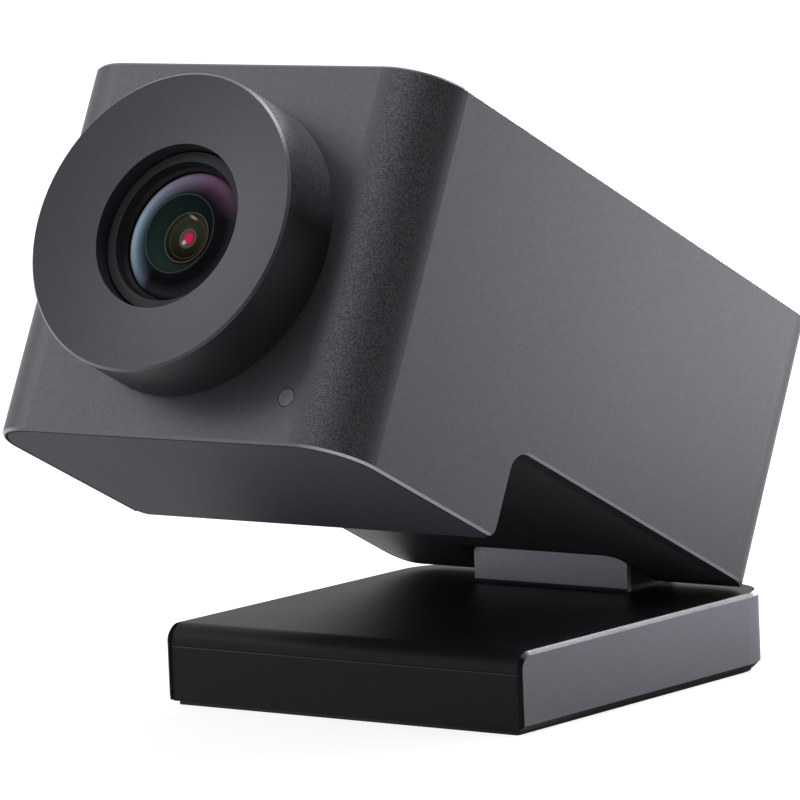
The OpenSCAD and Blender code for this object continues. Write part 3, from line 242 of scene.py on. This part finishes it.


def grained_metal(name, color, rough, metal, sparkle, marks=None):
    """Blasted and anodised aluminium: fine grain in relief, painted glints on a share of small cells, and a
    slow drift of tone.

    marks takes the shader and its glints, and gives (mask, colour, roughness) for painted light and shade."""
    s = Shader(name, color, rough, metal)
    grain = s.noise(7000.0, 0.0)
    glints = s.grains(7200.0, 0.1)
    tone = s.ramp(grain, (0.2, scaled(color, 0.95)), (0.8, scaled(color, 1.05)))
    # painted glints: a share of small cells is made brighter, as if catching the light
    tone = s.mix(s.product(glints, sparkle), tone, scaled(color, 1.8))
    tone = s.mix(1.0, tone, s.ramp(s.noise(28.0), (0.3, 0.98), (0.7, 1.02)), "MULTIPLY")
    gloss = s.ramp(grain, (0.2, rough - 0.04), (0.8, rough + 0.04))
    for mask, other, other_rough in (marks(s, glints) if marks else []):
        tone = s.mix(mask, tone, other)
        gloss = s.mix(mask, gloss, (other_rough,) * 3)
    s.color(tone)
    s.rough(gloss)
    s.bump(grain, 1.0, 0.014 * MM)
    return s.mat


def shell_highlights_and_shade(s, glints):
    """Painted glints on the round corners, painted highlight lines on the bevels, and painted shade on the
    flat rim round the underside.
    """
    beside = s.facing(RIGHT)
    # painted glints: bright cells on the round corners stand in for the sparkle of light there
    corner = s.product(s.fit(beside, 0.1, 0.4), s.fit(beside, 0.99, 0.9))
    # painted highlight: the bevels along the lower side edges are made far lighter
    underside = s.product(s.slanted(RIGHT, 0.1, rise=0.55), s.fit(s.facing(HEAD_UP), -0.05, -0.1))
    # painted shade: the flat rim under the sleeve is near black, like the shadow line at the joint
    rim = s.fit(s.facing(HEAD_UP), -0.93, -0.97)
    return [(s.product(glints, corner, 0.17), (0.42, 0.42, 0.46), 0.5),
            # painted highlight lines on the bevels round the head's top and bottom
            (s.slanted(HEAD_UP), (0.11, 0.11, 0.125), HIGHLIGHT_LINE_ROUGH),
            (underside, (0.46, 0.46, 0.51), HIGHLIGHT_LINE_ROUGH),
            (rim, (0.01, 0.01, 0.012), 0.5)]


def ring_light_and_shade(s, glints):
    """The ring's side wall in painted shade with a painted highlight and glints above, its hole in painted
    shade, and a painted highlight on its edge but for the lower right.
    """
    radius = s.lens_place()[2]
    ahead = s.facing(HEAD_AHEAD)
    outside = s.fit(radius, RING_EDGE_R, RING_EDGE_R + SOFT)
    # painted shade: the side wall is darker than the face
    wall = s.product(s.fit(ahead, 0.25, 0.15), outside)
    # painted highlight: the upper side wall is made much lighter, with bright painted glints
    above = s.product(wall, s.fit(s.facing(HEAD_UP), 0.1, 0.95))
    # painted shade: the hole's wall is a little darker and loses the glints
    hole = s.product(s.fit(ahead, 0.9, 0.8), s.fit(radius, RING_HOLE_R + SOFT, RING_HOLE_R))
    # painted highlight: the outer edge is lighter, but not where it looks to the lower right
    edge = s.product(s.slanted(HEAD_AHEAD, high=0.94), outside,
                     s.fit(s.facing(HEAD_LOW_RIGHT), 0.62, 0.35))
    return [(wall, (0.026, 0.026, 0.032), 0.42),
            (above, (0.2, 0.2, 0.23), 0.42),
            (s.product(glints, above, 0.6), (0.5, 0.5, 0.56), 0.5),
            (hole, (0.04, 0.04, 0.046), 0.5),
            (edge, (0.15, 0.15, 0.17), 0.32)]


def band_highlight_and_shade(s, glints):
    """A painted highlight on the upper edge, and painted shade that makes the front ends and underside
    black.
    """
    # painted shade: the front ends and the underside are made black
    front = s.fit(s.facing(AHEAD), 0.35, 0.5)
    under = s.fit(s.facing(UP), -0.3, -0.5)
    height = s.dot(s.place(), UP)
    line_z = FOOT_T - BAND_LINE
    # painted highlight: a bright line on the upper part of the top bevel
    line = s.product(s.slanted(UP), s.fit(height, line_z * MM, (line_z + SOFT) * MM))
    return [(line, (0.15, 0.15, 0.155), 0.28),
            (s.math("MAXIMUM", front, under), (0.008, 0.008, 0.009), 0.5)]


def moulded(name, color, rough, grain_scale=1500.0, edge=None, **sockets):
    """Moulded plastic: a fine even texture and slight unevenness of gloss.

    edge is the direction that the edge with a painted highlight line looks along."""
    s = Shader(name, color, rough, 0.0, **sockets)
    grain = s.noise(grain_scale, 2.0, 0.6)
    tone = s.ramp(grain, (0.3, scaled(color, 0.86)), (0.7, scaled(color, 1.14)))
    if edge:
        # painted highlight on the edge that looks along that direction
        tone = s.mix(s.fit(s.facing(edge), 0.93, 0.97), tone, EDGE_HIGHLIGHT_TONE)
    s.color(tone)
    s.rough(s.ramp(s.noise(60.0), (0.3, rough - 0.01), (0.7, rough + 0.01)))
    s.bump(grain, 0.3, 0.03 * MM)
    return s.mat


def turned_metal(name, color, rough):
    """Machined metal with fine tool marks."""
    s = Shader(name, color, rough, 1.0)
    cuts = s.noise(2200.0, 2.0, 0.6)
    s.color(s.ramp(cuts, (0.3, scaled(color, 0.85)), (0.7, scaled(color, 1.1))))
    s.rough(s.ramp(cuts, (0.3, rough - 0.05), (0.7, rough + 0.07)))
    s.bump(cuts, 0.2, 0.03 * MM)
    return s.mat


def clear_glass(name, tint):
    s = Shader(name, tint, 0.02, transmission_weight=1.0)
    s.rough(s.ramp(s.noise(400.0), (0.3, 0.015), (0.7, 0.03)))
    return s.mat


def slot_finishes():
    """The finish of each material slot in the record."""
    return {
        "shell_metal": grained_metal("shell_grain", (0.071, 0.07, 0.081), 0.42, 0.75, 0.25, shell_highlights_and_shade),
        "ring_metal": grained_metal("ring_grain", (0.045, 0.0465, 0.055), 0.4, 0.65, 0.15, ring_light_and_shade),
        "foot_metal": grained_metal("foot_grain", (0.166, 0.168, 0.194), 0.38, 0.8, 0.15, band_highlight_and_shade),
        "black_metal": moulded("black_paint", (0.012, 0.012, 0.013), 0.5),
        "cover_plastic": moulded("cover_satin", (0.03, 0.029, 0.033), 0.46, specular_ior_level=0.25),
        "black_plastic": moulded("black_satin", (0.0132, 0.013, 0.0172), 0.45, specular_ior_level=0.12),
        "frame_plastic": moulded("frame_black", (0.02, 0.02, 0.022), 0.55),
        "lens_black": moulded("lens_black", (0.008, 0.008, 0.009), 0.4),
        "rubber": moulded("rubber_black", (0.01, 0.01, 0.011), 0.75),
        "steel": turned_metal("plain_steel", (0.55, 0.55, 0.57), 0.35),
        "brass": turned_metal("turned_brass", (0.6, 0.43, 0.16), 0.3),
        "bare_aluminium": turned_metal("bare_aluminium", (0.65, 0.65, 0.67), 0.4),
        "board_green": moulded("solder_mask", (0.01, 0.07, 0.035), 0.3, grain_scale=900.0),
        "chip_black": moulded("chip_mould", (0.02, 0.02, 0.022), 0.5),
        "soft_grey": moulded("gap_pad", (0.2, 0.23, 0.27), 0.8),
        "flex_amber": moulded("flex_film", (0.4, 0.16, 0.03), 0.25),
        "ivory_plastic": moulded("ivory_plastic", (0.6, 0.57, 0.48), 0.4),
        "light_guide": moulded("light_guide", (0.1, 0.105, 0.125), 0.3),
        "lens_glass": clear_glass("lens_glass", (0.9, 0.95, 0.92)),
        "inner_glass": clear_glass("inner_glass", (0.8, 0.9, 0.8)),
        "filter_glass": clear_glass("filter_glass", (0.8, 0.25, 0.2)),
    }


def node_finishes():
    """Nodes whose finish differs a little from the others of their slot."""
    return {
        # the base's front top edge carries a painted highlight line
        "foot_base": moulded("base_satin", (0.0122, 0.012, 0.0165), 0.45,
                             edge=AHEAD_AND_UP, specular_ior_level=0.12),
        "recess_cover": moulded("recess_satin", (0.026, 0.0255, 0.03), 0.5),
        "recess_film": moulded("recess_film_satin", (0.05, 0.05, 0.056), 0.5),
        "chin_cover": moulded("chin_satin", (0.05, 0.046, 0.061), 0.5, specular_ior_level=0.05),
        "hinge_arm_face": grained_metal("arm_face_grain", (0.24, 0.242, 0.275), 0.4, 0.7, 0.2),
        "lens_ring": lens_step_finish(),
    }


def paint(obj, mat):
    obj.data.materials.clear()
    obj.data.materials.append(mat)


def paint_nodes():
    slots = {part["node"]: part["material_slot"] for part in frame["record"]["subparts"]}
    by_slot, by_node = slot_finishes(), node_finishes()
    for name, obj in nodes.items():
        paint(obj, by_node.get(name) or by_slot[slots[name]])


# ---- lens

# Painted reflections in the coatings: the outer zone on the left, above, the painted glow at its rim, and
# the dark elsewhere
SKY_REFLECTION, VIOLET_REFLECTION, RIM_GLOW = (0.42, 0.6, 0.76), (0.24, 0.12, 0.23), (0.014, 0.011, 0.016)
NIGHT_TINT = (0.009, 0.009, 0.011)
# Painted reflections in the middle zone from right to left, and in the inner zone from below to above
GREEN_DARK, GREEN_REFLECTION = (0.011, 0.013, 0.013), (0.02, 0.042, 0.036)
OLIVE_DARK, OLIVE_REFLECTION = (0.012, 0.008, 0.004), (0.04, 0.046, 0.026)
# the pupil, then a painted glint and a painted reflection in a dash
PUPIL_TINT, GLINT_HIGHLIGHT, DASH_REFLECTION = (0.75, 0.03, 0.12), (1.0, 0.9, 0.9), (0.9, 0.55, 0.45)
# Painted highlights on the lips of the rings: radius, half width, colour and strength
LIP_HIGHLIGHTS = ((CIRCLE_R, 0.11, (0.12, 0.16, 0.14), 0.55),
        (INNER_R, 0.12, (0.2, 0.2, 0.16), 0.7),
        (HALO_IN_R, 0.1, (0.1, 0.1, 0.07), 0.6),
        (HALO_R, 0.3, (0.15, 0.15, 0.12), 0.9))

# Section of what lies under the front glass, from its edge to the axis
DEPTHS = [(8.12, 2.6), (8.12, 3.6), (7.6, 4.0), (5.3, 4.62),
          (5.15, 4.74), (CIRCLE_R, 4.78), (4.95, 4.72), (4.8, 4.5),
          (3.4, 3.15), (3.3, 3.3), (INNER_R, 3.34), (3.1, 3.28), (2.95, 3.08),
          (1.7, 2.96), (1.4, 3.0), (HALO_R, 2.98), (PUPIL_R, 2.95), (0.5, 2.94), (0, 2.94)]


def lathe(name, profile, mat, steps=160):
    """A profile of (radius, height) in mm, turned about the lens axis. It rides with the head."""
    bm = bmesh.new()
    rings = []
    for r, z in profile:
        if r == 0:
            rings.append([bm.verts.new((0, 0, z))] * steps)
            continue
        turns = [2 * math.pi * i / steps for i in range(steps)]
        rings.append([bm.verts.new((r * math.cos(a), r * math.sin(a), z)) for a in turns])
    for low, high in zip(rings, rings[1:]):
        for i in range(steps):
            j = (i + 1) % steps
            corners = dict.fromkeys((low[i], low[j], high[j], high[i]))
            bm.faces.new(list(corners))
    bmesh.ops.transform(bm, matrix=LENS @ Matrix.Scale(MM, 4), verts=bm.verts)
    mesh = bpy.data.meshes.new(name)
    bm.to_mesh(mesh)
    bm.free()
    for face in mesh.polygons:
        face.use_smooth = True
    mesh.set_sharp_from_angle(angle=math.radians(35.0))
    obj = bpy.data.objects.new(name, mesh)
    bpy.context.scene.collection.objects.link(obj)
    mesh.materials.append(mat)
    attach(obj, "head")
    return obj


def dome_profile(count=40):
    """The front glass: a wall, then an arc of a circle to just short of the axis, then its middle."""
    foot = math.sqrt(DOME_CURVE ** 2 - DOME_R ** 2)
    radii = [DOME_R + (0.25 - DOME_R) * i / count for i in range(count + 1)]
    arc = [(r, GLASS_Z + math.sqrt(DOME_CURVE ** 2 - r * r) - foot) for r in radii + [0]]
    return [(DOME_R + 0.3, 2.45), (DOME_R + 0.3, GLASS_Z - 0.1)] + arc


def zone_reflections(s, x, y, radius, toward_left):
    """Painted reflections: light on the left, violet above and dark elsewhere; dark green further in, then
    olive.
    """
    outward = s.fit(radius, 4.4, 7.1)
    violet = s.product(s.fit(y, 2.0, 7.5), s.fit(radius, 5.2, 7.2))
    green = s.mix(s.fit(x, 3.5, -3.5), GREEN_DARK, GREEN_REFLECTION)
    olive = s.mix(s.fit(y, -2.5, 1.5), OLIVE_DARK, OLIVE_REFLECTION)
    tone = s.mix(s.product(toward_left, outward, outward), NIGHT_TINT, SKY_REFLECTION)
    tone = s.mix(violet, tone, VIOLET_REFLECTION)
    tone = s.mix(s.fit(radius, 5.6, 4.4), tone, green)
    return s.mix(s.fit(radius, INNER_R + SOFT, INNER_R - SOFT), tone, olive)


def small_highlights(s, x, y, radius, tone):
    """Painted highlights on the lips of the rings, the pupil, a painted glint beside it and a painted
    reflection in a dash above it.
    """
    for at, width, color, share in LIP_HIGHLIGHTS:
        tone = s.mix(s.product(s.peak(radius, at - width, at, at + width), share), tone, color)
    tone = s.mix(s.fit(radius, PUPIL_R + 0.12, PUPIL_R - 0.12), tone, PUPIL_TINT)
    # painted highlight: a glint beside the pupil
    glint = s.product(s.peak(x, -0.9, -0.5, -0.1), s.peak(y, -0.95, -0.55, -0.15))
    tone = s.mix(glint, tone, GLINT_HIGHLIGHT)
    # painted reflection: a short bright dash above the pupil
    across = s.math("ADD", y, s.product(x, 0.4))
    dash = s.product(s.peak(x, -0.7, 0.1, 0.9), s.peak(across, 2.45, 2.7, 2.95))
    return s.mix(dash, tone, DASH_REFLECTION)


def lens_depths_finish():
    """What shows through the front glass: stepped rings with painted reflections of the coatings, and a
    painted glow round their rim.
    """
    s = Shader("lens_depths", NIGHT_TINT, 0.5, specular_ior_level=0.0, emission_strength=1.0)
    x, y, radius = s.lens_place()
    toward_left = s.fit(s.math("ADD", s.product(x, -0.91), s.product(y, 0.42)), 0.5, 6.8)
    s.color(small_highlights(s, x, y, radius, zone_reflections(s, x, y, radius, toward_left)))
    # painted light: the outer rim glows, brighter on the left, though it is no lamp
    glow = s.mix(toward_left, RIM_GLOW, scaled(SKY_REFLECTION, 0.17))
    rim = s.peak(radius, 6.4, 7.6, 8.15)
    s.link(s.mix(rim, (0.0, 0.0, 0.0), glow), s.bsdf.inputs["Emission Color"])
    s.mat.cycles.emission_sampling = "NONE"
    return s.mat


def coated_glass_finish():
    """Clear glass whose coating gives back light only where it is seen at a slant."""
    s = Shader("coated_glass", (0.3, 0.3, 0.3), 0.04)
    y = s.lens_place()[1]
    gloss = s.node("ShaderNodeBsdfGlossy", Roughness=0.12)
    s.link(s.mix(s.fit(y, -2.0, 6.0), (0.3, 0.36, 0.42), (0.36, 0.26, 0.4)), gloss.inputs["Color"])
    clear = s.node("ShaderNodeBsdfTransparent")
    grazing = s.fit(s.node("ShaderNodeLayerWeight").outputs["Facing"], 0.55, 0.95)
    blend = s.node("ShaderNodeMixShader")
    for socket, out in zip(blend.inputs, (s.product(grazing, grazing, 0.5),
                                          clear.outputs[0], gloss.outputs[0])):
        s.link(out, socket)
    s.link(blend.outputs[0], s.tree.nodes["Material Output"].inputs["Surface"])
    return s.mat


def lens_step_finish():
    """The lens's own front ring: black, with the flat facing ahead at its edge painted grey as painted
    light.
    """
    s = Shader("lens_step", (0.01, 0.01, 0.01), 0.5, specular_ior_level=0.15)
    radius = s.lens_place()[2]
    # painted light: only the flat that faces ahead is grey
    flat = s.product(s.fit(radius, STEP_R - SOFT / 2, STEP_R + SOFT / 2),
                     s.fit(s.facing(HEAD_AHEAD), 0.8, 0.9))
    s.color(s.mix(flat, (0.007, 0.007, 0.008), (0.04, 0.041, 0.046)))
    s.bump(s.noise(3000.0, 1.0), 0.3, 0.02 * MM)
    return s.mat


def make_lens():
    glass = lathe("front_glass_dome", dome_profile(), coated_glass_finish())
    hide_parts("front_glass")
    depths = lathe("lens_depths", DEPTHS, lens_depths_finish())
    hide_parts("second_glass")


# ---- camera, lamps, room

EYE = Vector((475.81, -634.81, 135.17)) * MM
EYE_RIGHT = Vector((0.79604, 0.60392, -0.03998))
EYE_UP = Vector((-0.04257, 0.12177, 0.99164))
EYE_BACK = Vector((0.60375, -0.78768, 0.12265))
FOCAL_MM, SENSOR_MM = 281.9, 36.0

# Each lamp: place, aim and size in metres, and power in watts
CENTRE = (0.0, -0.02, 0.04)
LAMPS = {
    "key_left": ((-0.92, -0.6, 0.72), CENTRE, (0.6, 0.6), 2.4),
    "side_near": ((0.11, 0.16, 0.05), (0.03, 0.02, 0.04), (0.07, 0.12), 0.115),
    "ring_behind": ((-0.24, 0.95, 0.2), CENTRE, (0.3, 0.15), 2.4),
    "top_soft": ((0.0, 0.1, 1.0), CENTRE, (0.5, 0.5), 4.0),
    "rim_behind": ((0.12, 0.79, 0.62), CENTRE, (0.4, 0.2), 1.6),
}

DARK_SIDE, DARK_LEVEL = (0.86, 0.3, 0.24), 0.06   # the room's dark side, as gloss sees it
ROOM_LEVEL = 0.5                                  # the room as plain light
ROOM_GLOSS, FLOOR_GLOSS = 0.95, 0.75              # the rest of the room and the floor, as gloss sees them
FLOOR_TONE, FLOOR_SEEN = 0.45, 0.82               # with both, the floor renders white round the shadow
FLOOR_HALF = 3.0


def make_camera():
    data = bpy.data.cameras.new("camera")
    data.lens = FOCAL_MM
    data.sensor_width = SENSOR_MM
    data.clip_end = 20.0
    camera = bpy.data.objects.new("camera", data)
    turn = Matrix((EYE_RIGHT, EYE_UP, EYE_BACK)).transposed().to_4x4()
    camera.matrix_world = Matrix.Translation(EYE) @ turn
    bpy.context.scene.collection.objects.link(camera)
    bpy.context.scene.camera = camera


def make_lamp(name, place, aim, size, power):
    data = bpy.data.lights.new(name, "AREA")
    data.shape = "RECTANGLE"
    data.size, data.size_y = size
    data.energy = power
    lamp = bpy.data.objects.new(name, data)
    place, aim = Vector(place), Vector(aim)
    turn = (aim - place).to_track_quat("-Z", "Y").to_matrix().to_4x4()
    lamp.matrix_world = Matrix.Translation(place) @ turn
    lamp.visible_camera = False
    bpy.context.scene.collection.objects.link(lamp)


def room_glow(tree, way, top):
    """How bright the room is toward a direction, as gloss sees it: one side of it is dark."""
    return tree.fit(tree.dot(way, DARK_SIDE), -0.2, 0.66, top, DARK_LEVEL)


def make_world():
    """A white studio; gloss sees it with one dark side, and plain light is dimmer."""
    world = bpy.data.worlds.new("studio")
    bpy.context.scene.world = world
    world.use_nodes = True
    tree = Nodes(world.node_tree)
    way = tree.node("ShaderNodeTexCoord").outputs["Generated"]
    level = tree.choose(tree.rays("Is Glossy Ray"), ROOM_LEVEL, room_glow(tree, way, ROOM_GLOSS))
    level = tree.choose(tree.rays("Is Camera Ray", "Is Transmission Ray"), level, 1.0)
    back = world.node_tree.nodes["Background"]
    back.inputs["Color"].default_value = (1, 1, 1, 1)
    tree.link(level, back.inputs["Strength"])


def floor_finish():
    """White to the camera, and as bright as the room to gloss."""
    s = Shader("floor", (FLOOR_TONE,) * 3, 0.9, specular_ior_level=0.1)
    s.set("Emission Color", (1, 1, 1, 1))
    way = s.node("ShaderNodeVectorMath", operation="NORMALIZE")
    s.link(s.place(), way.inputs[0])
    gloss = s.choose(s.rays("Is Glossy Ray"), 0.0, room_glow(s, way.outputs[0], FLOOR_GLOSS))
    seen = s.product(s.rays("Is Camera Ray", "Is Transmission Ray"), FLOOR_SEEN)
    s.link(s.math("MAXIMUM", seen, gloss), s.bsdf.inputs["Emission Strength"])
    s.mat.cycles.emission_sampling = "NONE"
    return s.mat


def make_floor():
    mesh = bpy.data.meshes.new("floor")
    corners = [(x * FLOOR_HALF, y * FLOOR_HALF, 0) for x, y in ((-1, -1), (1, -1), (1, 1), (-1, 1))]
    mesh.from_pydata(corners, [], [(0, 1, 2, 3)])
    mesh.materials.append(floor_finish())
    floor = bpy.data.objects.new("floor", mesh)
    bpy.context.scene.collection.objects.link(floor)


def main():
    bpy.context.scene.view_settings.view_transform = "Standard"
    make_camera()
    make_world()
    for name, settings in LAMPS.items():
        make_lamp(name, *settings)
    make_floor()
    paint_nodes()
    make_lens()


main()
